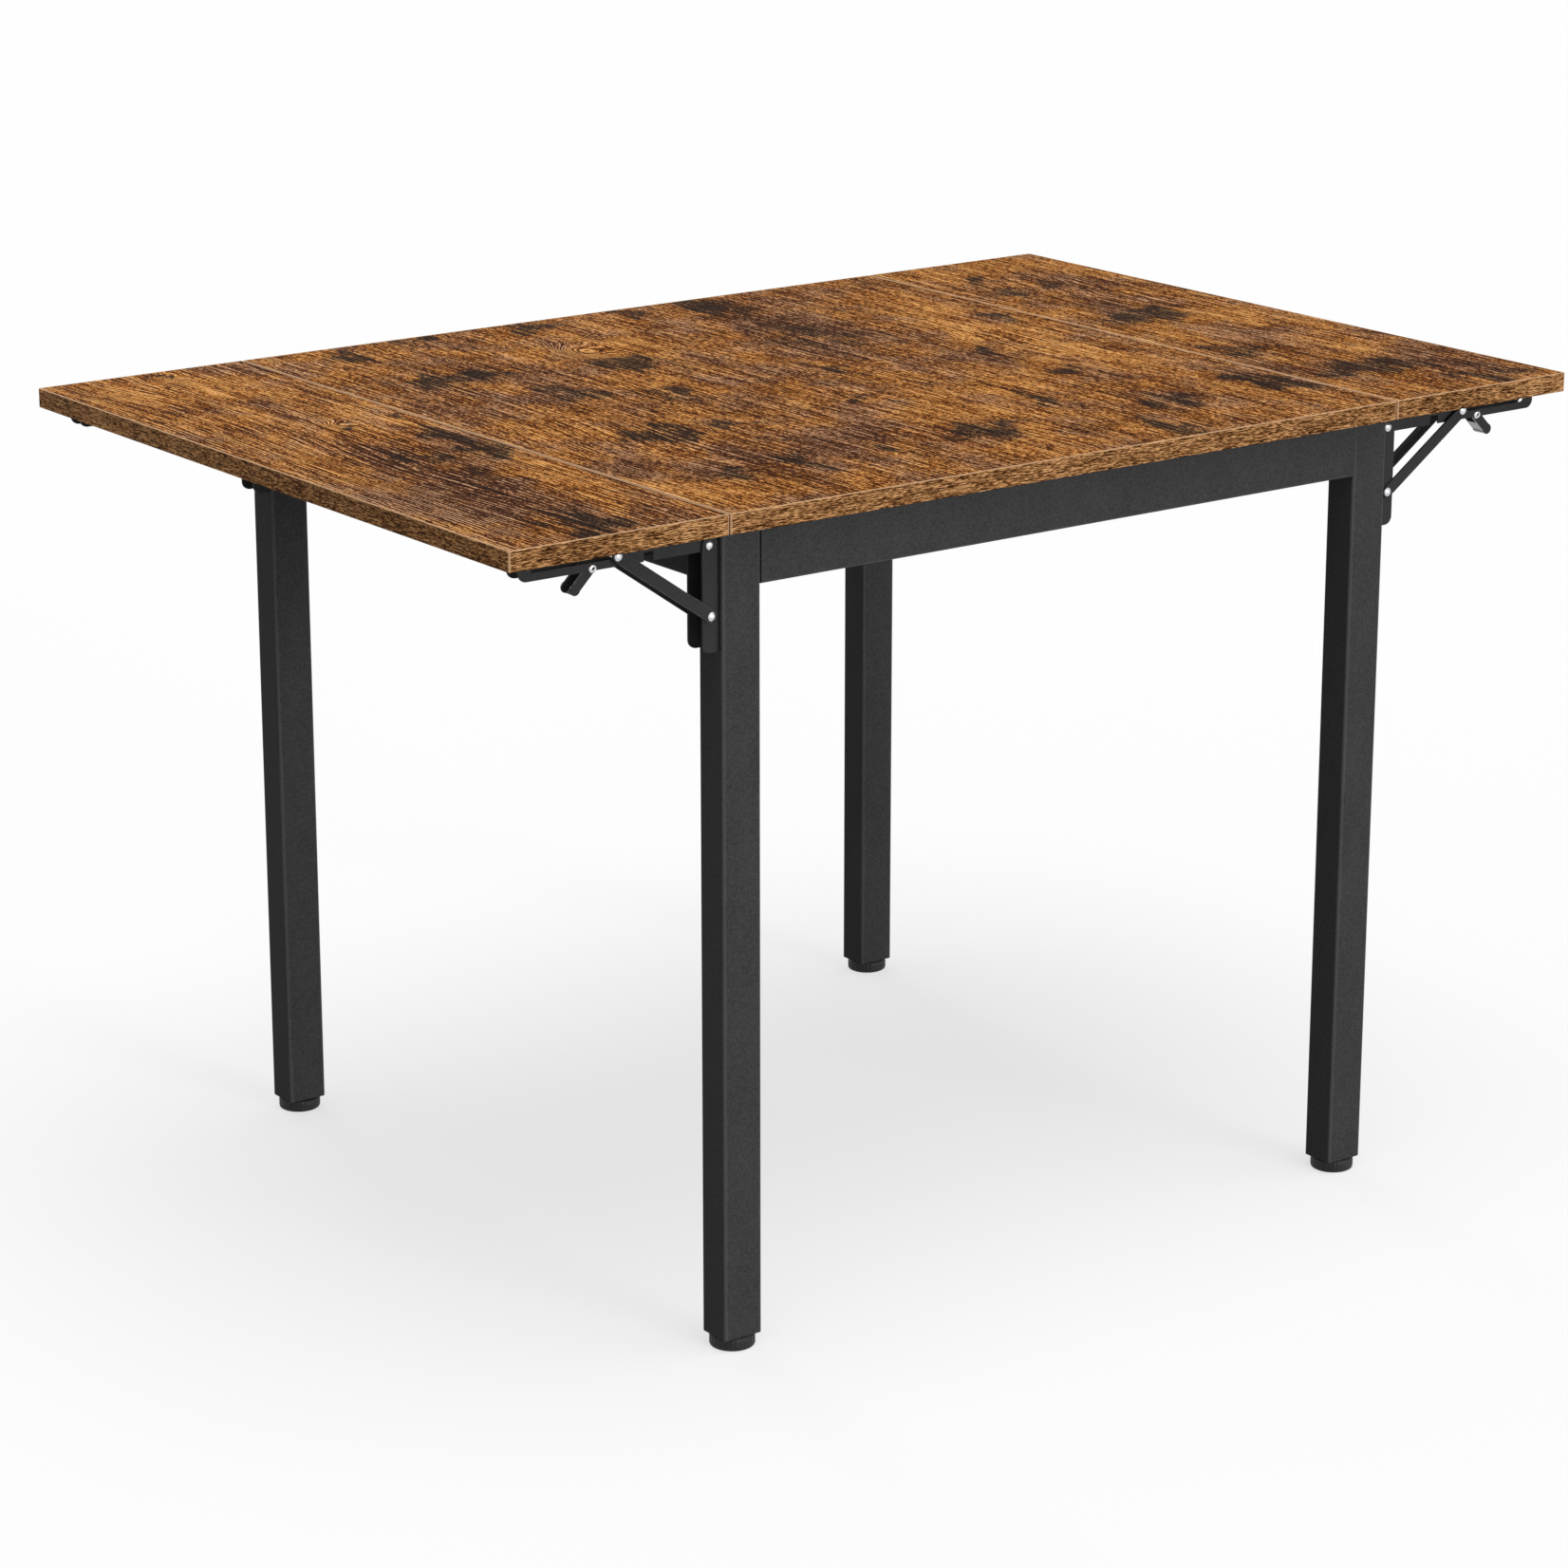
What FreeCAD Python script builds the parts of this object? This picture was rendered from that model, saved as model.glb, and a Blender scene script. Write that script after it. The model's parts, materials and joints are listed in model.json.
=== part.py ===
import FreeCAD, Part
import os
import re
import sys

V = FreeCAD.Vector
doc = FreeCAD.newDocument("folding_table")

# Driving sizes, millimetres and degrees
SIZES = {
    # table top
    "centre_length": 760, "leaf_length": 219, "seam_gap": 1, "table_width": 800,
    "table_height": 760, "board_thickness": 18, "band_thickness": 2,
    # legs and feet
    "leg_length_x": 40, "leg_length_y": 35, "leg_wall": 1.5, "leg_radius": 3, "leg_setback": 12,
    "foot_radius": 20.5, "foot_height": 12, "foot_chamfer": 2, "stem_radius": 4, "stem_length": 26,
    "plug_height": 30, "plug_clearance": 0.1,
    # rails
    "rail_height": 50, "rail_depth": 20, "rail_wall": 1.5, "rail_radius": 2, "rail_gap": 0.4,
    "end_rail_setback": 6, "stub_length": 60, "stub_wall": 2, "stub_clearance": 0.2, "stub_bolt_inset": 15,
    "bolt_radius": 3, "bolt_head_radius": 5.5, "bolt_head_height": 3, "bolt_bite": 6,
    # tabs and screws that hold the centre panel
    "tab_length": 30, "tab_depth": 22, "tab_thickness": 3, "tab_inset_x": 70, "tab_inset_y": 173,
    "screw_radius": 2, "screw_head_radius": 4, "screw_head_height": 2, "screw_bite": 10,
    # folding bracket, from its middle plane outwards
    "lever_half_width": 7.2, "lever_thickness": 1.5, "side_gap": 0.3, "arm_thickness": 1.5,
    "channel_thickness": 2, "strut_thickness": 2,
    # folding bracket, side view
    "pivot_drop": 11, "arm_heel": 5, "fold_clearance": 1, "channel_drop": 93, "corner_radius": 8,
    "wall_screw_upper": 30, "wall_screw_lower": 82, "strut_drop": 61, "strut_clearance": 1,
    "pin_reach": 94, "pin_radius": 2.5, "pin_clearance": 0.5, "slot_clearance": 0.1, "notch_clearance": 2.5,
    "arm_tip": 14.5, "arm_screw_first": 25, "arm_screw_second": 80, "arm_screw_inset": 10,
    "lever_offset": 23, "lever_boss": 4.5, "lever_tip_radius": 5, "lever_length": 23, "lever_angle": 45,
    "lever_nose": 7, "lever_rivet_radius": 2, "rivet_fit": 0.05,
    "rivet_head_radius": 4, "rivet_head_height": 1.5,
}

sheet = doc.addObject("Spreadsheet::Sheet", "sizes")
for row, (alias, value) in enumerate(SIZES.items(), start=1):
    sheet.set(f"A{row}", alias)
    sheet.set(f"B{row}", str(value))
    sheet.setAlias(f"B{row}", alias)
doc.recompute()

# Places worked out from the sizes
LAYOUT = {
    "underside": "table_height - board_thickness",
    "leg_face": "centre_length / 2",
    "leg_outer": "table_width / 2 - leg_setback",
    "leg_inner": "leg_outer - leg_length_y",
    "bracket_y": "leg_outer - leg_length_y / 2",
    "leaf_start": "leg_face + seam_gap",
    "foot_x": "leg_face - leg_length_x / 2",
    "rail_bottom": "underside - rail_height",
    "rail_inner": "leg_outer - rail_depth",
    "long_rail_end": "leg_face - leg_length_x",
    "end_rail_outer": "leg_face - end_rail_setback",
    "end_rail_inner": "end_rail_outer - rail_depth",
    "stub_y": "rail_inner + rail_wall + stub_clearance",
    "stub_z": "rail_bottom + rail_wall + stub_clearance",
    "stub_width": "rail_depth - 2 * rail_wall - 2 * stub_clearance",
    "stub_height": "rail_height - 2 * rail_wall - 2 * stub_clearance",
    "arm_inner": "lever_half_width + side_gap",
    "arm_outer": "arm_inner + arm_thickness",
    "channel_inner": "arm_outer + side_gap",
    "channel_outer": "channel_inner + channel_thickness",
    "strut_inner": "channel_outer + side_gap",
    "strut_outer": "strut_inner + strut_thickness",
    "pivot_out": "channel_thickness + fold_clearance + arm_heel",
    "pivot_x": "leg_face + pivot_out",
    "pivot_z": "underside - pivot_drop",
    "strut_pivot_z": "pivot_z - strut_drop",
    "channel_low": "pivot_z - channel_drop",
    "channel_edge": "leg_face + 2 * pivot_out",
    "arm_depth": "pivot_drop + arm_heel",
    "arm_low": "underside - arm_depth",
    "pin_depth": "arm_thickness + screw_head_height + pin_clearance + pin_radius",
    "pin_rise": "pivot_drop - pin_depth",
    "pin_x": "pivot_x + pin_reach",
    "pin_z": "underside - pin_depth",
    "strut_rise": "strut_drop + pin_rise",
    "strut_length": "sqrt(pin_reach ^ 2 + strut_rise ^ 2)",
    "strut_slope": "atan(strut_rise / pin_reach)",
    "strut_half": "pin_depth - strut_clearance",
    "pin_folded": "strut_drop + sqrt(strut_length ^ 2 - pin_rise ^ 2)",
    "arm_end": "pin_folded + arm_tip",
    "slot_radius": "pin_radius + slot_clearance",
    "notch_half": "pin_radius + notch_clearance",
    "lever_reach": "pin_reach + lever_offset",
    "lever_depth": "pin_depth + pin_radius + pin_clearance + lever_boss",
    "lever_x": "pivot_x + lever_reach",
    "lever_z": "underside - lever_depth",
    "head_sphere": "(rivet_head_radius ^ 2 + rivet_head_height ^ 2) / (2 * rivet_head_height)",
    "head_sink": "head_sphere - rivet_head_height",
}

# How far a cutting shape reaches past the face that it cuts
OVER = "1"


def bind(text):
    """Writes a formula in the sheet's aliases only."""
    def swap(match):
        word = match.group()
        if word in LAYOUT:
            return "(" + bind(LAYOUT[word]) + ")"
        return "sizes." + word if word in SIZES else word
    return re.sub(r"[a-z_]+", swap, str(text))


def locate(obj, at):
    for axis, text in zip("xyz", at):
        obj.setExpression("Placement.Base." + axis, bind(text))
    return obj


def box(at, size):
    obj = doc.addObject("Part::Box", "block")
    for name, text in zip(("Length", "Width", "Height"), size):
        obj.setExpression(name, bind(text))
    return locate(obj, at)


TURN = {
    "x": FreeCAD.Rotation(V(0, 1, 0), 90),
    "-x": FreeCAD.Rotation(V(0, 1, 0), -90),
    "y": FreeCAD.Rotation(V(1, 0, 0), -90),
    "-y": FreeCAD.Rotation(V(1, 0, 0), 90),
    "z": FreeCAD.Rotation(),
}


def rod(at, radius, length, axis):
    obj = doc.addObject("Part::Cylinder", "rod")
    obj.Placement = FreeCAD.Placement(V(), TURN[axis])
    obj.setExpression("Radius", bind(radius))
    obj.setExpression("Height", bind(length))
    return locate(obj, at)


def fuse(*items):
    obj = doc.addObject("Part::MultiFuse", "union")
    obj.Shapes = list(items)
    obj.Refine = True
    return obj


def cut(base, *tools):
    obj = doc.addObject("Part::Cut", "cut")
    obj.Base = base
    obj.Tool = tools[0] if len(tools) == 1 else fuse(*tools)
    obj.Refine = True
    return obj


def group(*items):
    obj = doc.addObject("Part::Compound", "group")
    obj.Links = list(items)
    return obj


NODES = []
HALF_TURN = FreeCAD.Placement(V(), FreeCAD.Rotation(V(0, 0, 1), 180))


def carry(obj, turned):
    """A turned piece goes to the opposite end and side of the table."""
    if turned:
        obj.Placement = HALF_TURN
    return obj


def node(label, obj, turned=False):
    obj.Label = label
    NODES.append(carry(obj, turned))


def row_y(row, turned):
    """Middle plane of a row of legs and brackets, before the half turn that swaps front and back."""
    return "bracket_y" if (row == "back") != turned else "-bracket_y"


ENDS = (("left", True), ("right", False))
ROWS = ("front", "back")


def bore(at, radius, length, axis):
    """Cutting rod of a fastener's hole through a wall that starts at a place and is length thick."""
    start = list(at)
    k = "xyz".index(axis)
    start[k] = f"{at[k]} - {OVER}"
    return rod(start, f"{radius} + rivet_fit", f"{length} + 2 * {OVER}", axis)


def fastener(kind, at, length, axis):
    """Screw or bolt whose head seats at a place and whose shank runs from there along the axis."""
    back = "+" if axis.startswith("-") else "-"
    seat = list(at)
    k = "xyz".index(axis[-1])
    seat[k] = f"{at[k]} {back} {kind}_head_height"
    return fuse(rod(at, f"{kind}_radius", length, axis),
                rod(seat, f"{kind}_head_radius", f"{kind}_head_height", axis))


def rounded_bar(at, size, radius, along):
    """Straight bar with rounded corners."""
    low = [f"({text})" for text in at]
    span = [f"({text})" for text in size]
    r = f"({radius})"
    first, second = (k for k in range(3) if "xyz"[k] != along)
    pieces = []
    for k in (first, second):
        start, extent = list(low), list(span)
        start[k] = f"{low[k]} + {r}"
        extent[k] = f"{span[k]} - 2 * {r}"
        pieces.append(box(start, extent))
    for a in (f"{low[first]} + {r}", f"{low[first]} + {span[first]} - {r}"):
        for b in (f"{low[second]} + {r}", f"{low[second]} + {span[second]} - {r}"):
            start = list(low)
            start[first], start[second] = a, b
            pieces.append(rod(start, r, span["xyz".index(along)], along))
    return fuse(*pieces)


# Tabs under the centre panel: four along each long rail, two along each end rail
TABS = []
for share in ("-1", "-1 / 3", "1 / 3", "1"):
    tab_x = f"{share} * (long_rail_end - tab_inset_x)"
    for tab_y in ("tab_depth / 2 - rail_inner", "rail_inner - tab_depth / 2"):
        TABS.append((tab_x, tab_y, "tab_length", "tab_depth"))
for share in ("-1", "1"):
    tab_y = f"{share} * (leg_inner - tab_inset_y)"
    for tab_x in ("tab_depth / 2 - end_rail_inner", "end_rail_inner - tab_depth / 2"):
        TABS.append((tab_x, tab_y, "tab_depth", "tab_length"))

tab_plates = []
tab_screws = []
for x, y, dx, dy in TABS:
    low = "underside - tab_thickness"
    plate = box((f"{x} - {dx} / 2", f"{y} - {dy} / 2", low), (dx, dy, "tab_thickness"))
    tab_plates.append(cut(plate, bore((x, y, low), "screw_radius", "tab_thickness", "z")))
    tab_screws.append(fastener("screw", (x, y, low), "tab_thickness + screw_bite", "z"))
node("panel_tabs", group(*tab_plates))
node("panel_screws", group(*tab_screws))


# Table top: a board and its edge bands for the centre and for each leaf
def board(start, length, holes):
    core = box((f"{start} + band_thickness", "band_thickness - table_width / 2", "underside"),
               (f"{length} - 2 * band_thickness", "table_width - 2 * band_thickness", "board_thickness"))
    return cut(core, *(bore((x, y, "underside"), "screw_radius", "screw_bite", "z") for x, y in holes))


def edge_bands(start, length):
    strips = []
    for y in ("-table_width / 2", "table_width / 2 - band_thickness"):
        strips.append(box((start, y, "underside"), (length, "band_thickness", "board_thickness")))
    for x in (start, f"{start} + {length} - band_thickness"):
        strips.append(box((x, "band_thickness - table_width / 2", "underside"),
                          ("band_thickness", "table_width - 2 * band_thickness", "board_thickness")))
    return group(*strips)


# Screws of an arm into its leaf, as reaches from the hinge
ARM_SCREWS = ("arm_screw_first", "arm_screw_second", "lever_reach + lever_offset",
              "arm_end - arm_screw_inset")
LEAF_HOLES = [(f"pivot_x + {reach}", y) for reach in ARM_SCREWS for y in ("-bracket_y", "bracket_y")]
node("centre_panel", board("-leg_face", "centre_length", [(x, y) for x, y, _, _ in TABS]))
node("centre_edge_bands", edge_bands("-leg_face", "centre_length"))
for side, turned in ENDS:
    node(f"{side}_leaf_panel", board("leaf_start", "leaf_length", LEAF_HOLES), turned)
    node(f"{side}_leaf_edge_bands", edge_bands("leaf_start", "leaf_length"), turned)

# Screws of a wall channel into its leg
WALL_SCREWS = ("pivot_z - wall_screw_upper", "pivot_z - wall_screw_lower")


# Legs, the plugs in their lower ends and the feet that screw into those
def leg_bar(y, inset, low, height, radius):
    """Bar of the leg's section drawn in by inset."""
    at = (f"leg_face - leg_length_x + {inset}", f"{y} - leg_length_y / 2 + {inset}", low)
    size = (f"leg_length_x - 2 * ({inset})", f"leg_length_y - 2 * ({inset})", height)
    return rounded_bar(at, size, radius, "z")


def leg(y):
    outer = leg_bar(y, "0", "foot_height", "underside - foot_height", "leg_radius")
    hollow = leg_bar(y, "leg_wall", f"foot_height - {OVER}", f"underside - foot_height + 2 * {OVER}",
                     "leg_radius - leg_wall")
    holes = [bore(("leg_face - leg_wall", y, z), "bolt_radius", "leg_wall", "x") for z in WALL_SCREWS]
    return cut(outer, hollow, *holes)


def leg_plug(y):
    plug = leg_bar(y, "leg_wall + plug_clearance", "foot_height", "plug_height", "leg_radius - leg_wall")
    return cut(plug, bore(("foot_x", y, "foot_height"), "stem_radius", "plug_height", "z"))


def foot(y):
    sole = doc.addObject("Part::Cone", "sole")
    sole.setExpression("Radius1", bind("foot_radius - foot_chamfer"))
    sole.setExpression("Radius2", bind("foot_radius"))
    sole.setExpression("Height", bind("foot_chamfer"))
    locate(sole, ("foot_x", y, "0"))
    pad = rod(("foot_x", y, "foot_chamfer"), "foot_radius", "foot_height - foot_chamfer", "z")
    stem = rod(("foot_x", y, "foot_height"), "stem_radius", "stem_length", "z")
    return fuse(pad, sole, stem)


plugs = []
for side, turned in ENDS:
    for row in ROWS:
        y = row_y(row, turned)
        node(f"{row}_{side}_leg", leg(y), turned)
        node(f"{row}_{side}_foot", foot(y), turned)
        plugs.append(carry(leg_plug(y), turned))
node("leg_plugs", group(*plugs))

# Rails: rectangular tubes, the long ones slid over stubs on the legs and bolted from inside
STUB_BOLTS = [f"rail_bottom + rail_height / 2 {sign} stub_bolt_inset" for sign in "-+"]
STUB_ENDS = {
    "-long_rail_end": "stub_length / 2 - long_rail_end",
    "long_rail_end - stub_length": "long_rail_end - stub_length / 2",
}


def stub(start, bolt_x):
    outer = box((start, "stub_y", "stub_z"), ("stub_length", "stub_width", "stub_height"))
    hollow = box((f"{start} - {OVER}", "stub_y + stub_wall", "stub_z + stub_wall"),
                 (f"stub_length + 2 * {OVER}", "stub_width - 2 * stub_wall", "stub_height - 2 * stub_wall"))
    holes = [bore((bolt_x, "stub_y", z), "bolt_radius", "stub_wall", "y") for z in STUB_BOLTS]
    return cut(outer, hollow, *holes)


def long_rail():
    start, length = "rail_gap - long_rail_end", "2 * (long_rail_end - rail_gap)"
    outer = rounded_bar((start, "rail_inner", "rail_bottom"), (length, "rail_depth", "rail_height"),
                        "rail_radius", "x")
    hollow = box((f"{start} - {OVER}", "rail_inner + rail_wall", "rail_bottom + rail_wall"),
                 (f"{length} + 2 * {OVER}", "rail_depth - 2 * rail_wall", "rail_height - 2 * rail_wall"))
    holes = [bore((bolt_x, "rail_inner", z), "bolt_radius", "rail_wall", "y")
             for bolt_x in STUB_ENDS.values() for z in STUB_BOLTS]
    return cut(outer, hollow, *holes)


def end_rail():
    outer = rounded_bar(("end_rail_inner", "-leg_inner", "rail_bottom"),
                        ("rail_depth", "2 * leg_inner", "rail_height"), "rail_radius", "y")
    hollow = box(("end_rail_inner + rail_wall", f"-leg_inner - {OVER}", "rail_bottom + rail_wall"),
                 ("rail_depth - 2 * rail_wall", f"2 * leg_inner + 2 * {OVER}", "rail_height - 2 * rail_wall"))
    return cut(outer, hollow)


stubs = []
bolts = []
for name, turned in (("front_apron", True), ("back_apron", False)):
    node(name, long_rail(), turned)
    for start, bolt_x in STUB_ENDS.items():
        stubs.append(carry(stub(start, bolt_x), turned))
        for z in STUB_BOLTS:
            length = "rail_wall + stub_clearance + stub_wall + bolt_bite"
            bolts.append(carry(fastener("bolt", (bolt_x, "rail_inner", z), length, "y"), turned))
node("rail_stubs", group(*stubs))
node("rail_bolts", group(*bolts))
for side, turned in ENDS:
    node(f"{side}_end_rail", end_rail(), turned)


# Folding brackets: one on each leg, all alike about their own middle plane at y
def across(x, z, radius, half, y):
    """Rod across a bracket, out to half on both sides of its middle plane."""
    return rod((x, f"{y} - ({half})", z), radius, f"2 * ({half})", "y")


def cross_bore(x, z, radius, half, y):
    """Cutting rod of a rivet's hole across a bracket."""
    return across(x, z, f"{radius} + rivet_fit", f"{half} + {OVER}", y)


def wide_box(x, z, dx, dz, half, y):
    return box((x, f"{y} - ({half})", z), (dx, f"2 * ({half})", dz))


def turned_box(x, z, dx, dz, half, y, angle):
    """Box across a bracket, turned about its own corner at x, z."""
    obj = wide_box(x, z, dx, dz, half, y)
    obj.Placement = FreeCAD.Placement(obj.Placement.Base, FreeCAD.Rotation(V(0, 1, 0), 1))
    obj.setExpression("Placement.Rotation.Angle", bind(angle))
    return obj


def corner_waste(x, z, radius, toward, half, y):
    """What a rounded lower corner leaves off: the square below the round's centre and toward -x or +x of it,
    less the round."""
    reach = f"{radius} + {OVER}"
    start = x if toward == "+x" else f"{x} - ({reach})"
    square = wide_box(start, f"{z} - ({reach})", reach, reach, f"{half} + {OVER}", y)
    return cut(square, across(x, z, radius, f"{half} + 2 * {OVER}", y))


def dome(x, y, z, axis):
    """Domed rivet head whose flat side lies at y and which rises along +y or -y."""
    obj = doc.addObject("Part::Sphere", "dome")
    obj.Placement = FreeCAD.Placement(V(), TURN[axis])
    obj.setExpression("Radius", bind("head_sphere"))
    obj.setExpression("Angle1", bind("asin(head_sink / head_sphere)"))
    return locate(obj, (x, f"{y} - head_sink" if axis == "y" else f"{y} + head_sink", z))


def rivet(x, z, radius, half, y):
    return fuse(across(x, z, radius, half, y),
                dome(x, f"{y} + {half}", z, "y"), dome(x, f"{y} - {half}", z, "-y"))


def wall_channel(y):
    body = fuse(wide_box("leg_face", "channel_low", "2 * pivot_out", "channel_drop", "channel_outer", y),
                across("pivot_x", "pivot_z", "pivot_out", "channel_outer", y))
    hollow = wide_box("leg_face + channel_thickness", f"channel_low - {OVER}", "2 * pivot_out",
                      f"channel_drop + pivot_out + 2 * {OVER}", "channel_inner", y)
    corner = corner_waste("channel_edge - corner_radius", "channel_low + corner_radius", "corner_radius",
                          "+x", "channel_outer", y)
    holes = [cross_bore("pivot_x", z, "pin_radius", "channel_outer", y) for z in ("pivot_z", "strut_pivot_z")]
    holes += [bore(("leg_face", y, z), "bolt_radius", "channel_thickness", "x") for z in WALL_SCREWS]
    return cut(body, hollow, corner, *holes)


def wall_screws(y):
    length = "channel_thickness + leg_wall + bolt_bite"
    return [fastener("bolt", ("leg_face + channel_thickness", y, z), length, "-x") for z in WALL_SCREWS]


def arm(y):
    """Channel open below, with a slot for the sliding pin and a notch that clears the strut's foot rivet."""
    block = wide_box("pivot_x - arm_heel", "arm_low", "arm_heel + arm_end", "arm_depth", "arm_outer", y)
    hollow = wide_box(f"pivot_x - arm_heel - {OVER}", f"arm_low - {OVER}", f"arm_heel + arm_end + 2 * {OVER}",
                      f"arm_depth - arm_thickness + {OVER}", "arm_inner", y)
    heel = corner_waste("pivot_x", "pivot_z", "arm_heel", "-x", "arm_outer", y)
    toe = corner_waste("pivot_x + arm_end - corner_radius", "arm_low + corner_radius", "corner_radius", "+x",
                       "arm_outer", y)
    wide = f"arm_outer + {OVER}"
    travel = wide_box("pin_x", "pin_z - slot_radius", "pin_folded - pin_reach", "2 * slot_radius", wide, y)
    slot = fuse(travel, across("pin_x", "pin_z", "slot_radius", wide, y),
                across("pivot_x + pin_folded", "pin_z", "slot_radius", wide, y))
    notch = wide_box("pivot_x + strut_drop - notch_half", f"arm_low - {OVER}", "2 * notch_half",
                     f"arm_heel + pin_radius + pin_clearance + {OVER}", wide, y)
    holes = [cross_bore("pivot_x", "pivot_z", "pin_radius", "arm_outer", y),
             cross_bore("lever_x", "lever_z", "lever_rivet_radius", "arm_outer", y)]
    for reach in ARM_SCREWS:
        at = (f"pivot_x + {reach}", y, "underside - arm_thickness")
        holes.append(bore(at, "screw_radius", "arm_thickness", "z"))
    return cut(block, hollow, heel, toe, slot, notch, *holes)


def arm_screws(y):
    length = "arm_thickness + screw_bite"
    return [fastener("screw", (f"pivot_x + {reach}", y, "underside - arm_thickness"), length, "z")
            for reach in ARM_SCREWS]


def strut(y):
    """A pair of flat strips from the wall channel up to the sliding pin."""
    body = fuse(turned_box("pivot_x + strut_half * sin(strut_slope)",
                           "strut_pivot_z - strut_half * cos(strut_slope)",
                           "strut_length", "2 * strut_half", "strut_outer", y, "-strut_slope"),
                across("pivot_x", "strut_pivot_z", "strut_half", "strut_outer", y),
                across("pin_x", "pin_z", "strut_half", "strut_outer", y))
    between = wide_box("pivot_x - 2 * strut_half", "strut_pivot_z - 2 * strut_half",
                       "pin_reach + 4 * strut_half", "strut_rise + 4 * strut_half", "strut_inner", y)
    holes = [cross_bore("pivot_x", "strut_pivot_z", "pin_radius", "strut_outer", y),
             cross_bore("pin_x", "pin_z", "pin_radius", "strut_outer", y)]
    return cut(body, between, *holes)


def slide_pin(y):
    return group(across("pin_x", "pin_z", "pin_radius", "channel_outer", y))


def pin_caps(y):
    """Riveted ends of the sliding pin, one in each strip of the strut."""
    near = fuse(rod(("pin_x", f"{y} - strut_outer", "pin_z"), "pin_radius", "strut_thickness", "y"),
                dome("pin_x", f"{y} - strut_outer", "pin_z", "-y"))
    far = fuse(rod(("pin_x", f"{y} + strut_inner", "pin_z"), "pin_radius", "strut_thickness", "y"),
               dome("pin_x", f"{y} + strut_outer", "pin_z", "y"))
    return group(near, far)


def lever_point(along, up):
    """Place in the side view, along the lever from its rivet and up square to it."""
    return (f"lever_x + ({along}) * cos(lever_angle) + ({up}) * sin(lever_angle)",
            f"lever_z - ({along}) * sin(lever_angle) + ({up}) * cos(lever_angle)")


def lever(y):
    """Release lever: two plates on the rivet, joined along their under edge and open on top."""
    half = "lever_half_width"
    gap = f"{half} - lever_thickness"
    blade = fuse(turned_box(*lever_point("0", "-lever_boss"), "lever_length", "2 * lever_boss", half, y,
                            "lever_angle"),
                 across("lever_x", "lever_z", "lever_boss", half, y),
                 across(*lever_point("lever_length", "0"), "lever_tip_radius", half, y),
                 wide_box("lever_x - lever_nose", "lever_z + lever_boss / 2", "lever_nose", "lever_boss / 2",
                          half, y))
    trough = turned_box(*lever_point("-3 * lever_boss", "lever_thickness - lever_boss"),
                        "lever_length + 3 * lever_boss + 2 * lever_tip_radius", "4 * lever_boss", gap, y,
                        "lever_angle")
    mouth = wide_box("lever_x - 2 * lever_nose", "lever_z - 2 * lever_boss", "2 * lever_nose + lever_boss",
                     "4 * lever_boss", gap, y)
    return cut(blade, trough, mouth, cross_bore("lever_x", "lever_z", "lever_rivet_radius", half, y))


wall_fixings = []
hinge_rivets = []
strut_rivets = []
for side, turned in ENDS:
    leaf_screws = []
    lever_rivets = []
    for row in ROWS:
        y = row_y(row, turned)
        for name, make in (("wall_channel", wall_channel), ("arm", arm), ("strut", strut),
                           ("pin_caps", pin_caps), ("slide_pin", slide_pin), ("lever", lever)):
            node(f"{side}_{row}_{name}", make(y), turned)
        leaf_screws += arm_screws(y)
        lever_rivets.append(rivet("lever_x", "lever_z", "lever_rivet_radius", "arm_outer", y))
        wall_fixings += [carry(screw, turned) for screw in wall_screws(y)]
        hinge_rivets.append(carry(rivet("pivot_x", "pivot_z", "pin_radius", "channel_outer", y), turned))
        strut_rivets.append(carry(rivet("pivot_x", "strut_pivot_z", "pin_radius", "strut_outer", y), turned))
    node(f"{side}_arm_screws", group(*leaf_screws), turned)
    node(f"{side}_lever_rivets", group(*lever_rivets), turned)
node("wall_channel_screws", group(*wall_fixings))
node("hinge_rivets", group(*hinge_rivets))
node("strut_rivets", group(*strut_rivets))

doc.recompute()
faults = [f"{obj.Name} ({obj.Label})" for obj in doc.Objects if {"Invalid", "Error"} & set(obj.State)]
for obj in NODES:
    if obj.Shape.isNull() or not obj.Shape.isValid() or not obj.Shape.Solids:
        faults.append(obj.Label)
if faults:
    sys.exit("failed: " + ", ".join(faults))
os.makedirs("parts", exist_ok=True)
for obj in NODES:
    obj.Shape.exportStep(f"parts/{obj.Label}.step")
print(len(NODES), "pieces written")
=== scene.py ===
"""Looks of the folding dining table: printed boards, edge bands, coated frame, brackets, moulded feet."""
import json
from math import pi, radians, sqrt

import bmesh
import bpy
import numpy as np
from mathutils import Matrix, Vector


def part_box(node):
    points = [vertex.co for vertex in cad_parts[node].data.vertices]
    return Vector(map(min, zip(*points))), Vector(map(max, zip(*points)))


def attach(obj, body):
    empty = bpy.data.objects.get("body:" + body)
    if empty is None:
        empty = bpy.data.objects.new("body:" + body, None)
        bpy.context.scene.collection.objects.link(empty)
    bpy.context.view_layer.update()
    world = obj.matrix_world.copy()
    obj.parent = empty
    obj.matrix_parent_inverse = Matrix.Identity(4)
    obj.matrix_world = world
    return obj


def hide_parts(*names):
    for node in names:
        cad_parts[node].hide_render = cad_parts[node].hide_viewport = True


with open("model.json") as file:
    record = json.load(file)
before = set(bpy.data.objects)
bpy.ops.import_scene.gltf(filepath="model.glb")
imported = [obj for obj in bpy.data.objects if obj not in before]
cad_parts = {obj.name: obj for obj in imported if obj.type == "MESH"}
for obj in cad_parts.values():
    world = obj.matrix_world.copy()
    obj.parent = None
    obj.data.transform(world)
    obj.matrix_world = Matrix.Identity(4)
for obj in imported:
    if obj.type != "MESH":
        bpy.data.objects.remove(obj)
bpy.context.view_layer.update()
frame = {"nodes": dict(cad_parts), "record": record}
NODES = frame["nodes"]
BODIES = frame["record"]["behaviour"]["bodies"]
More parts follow.
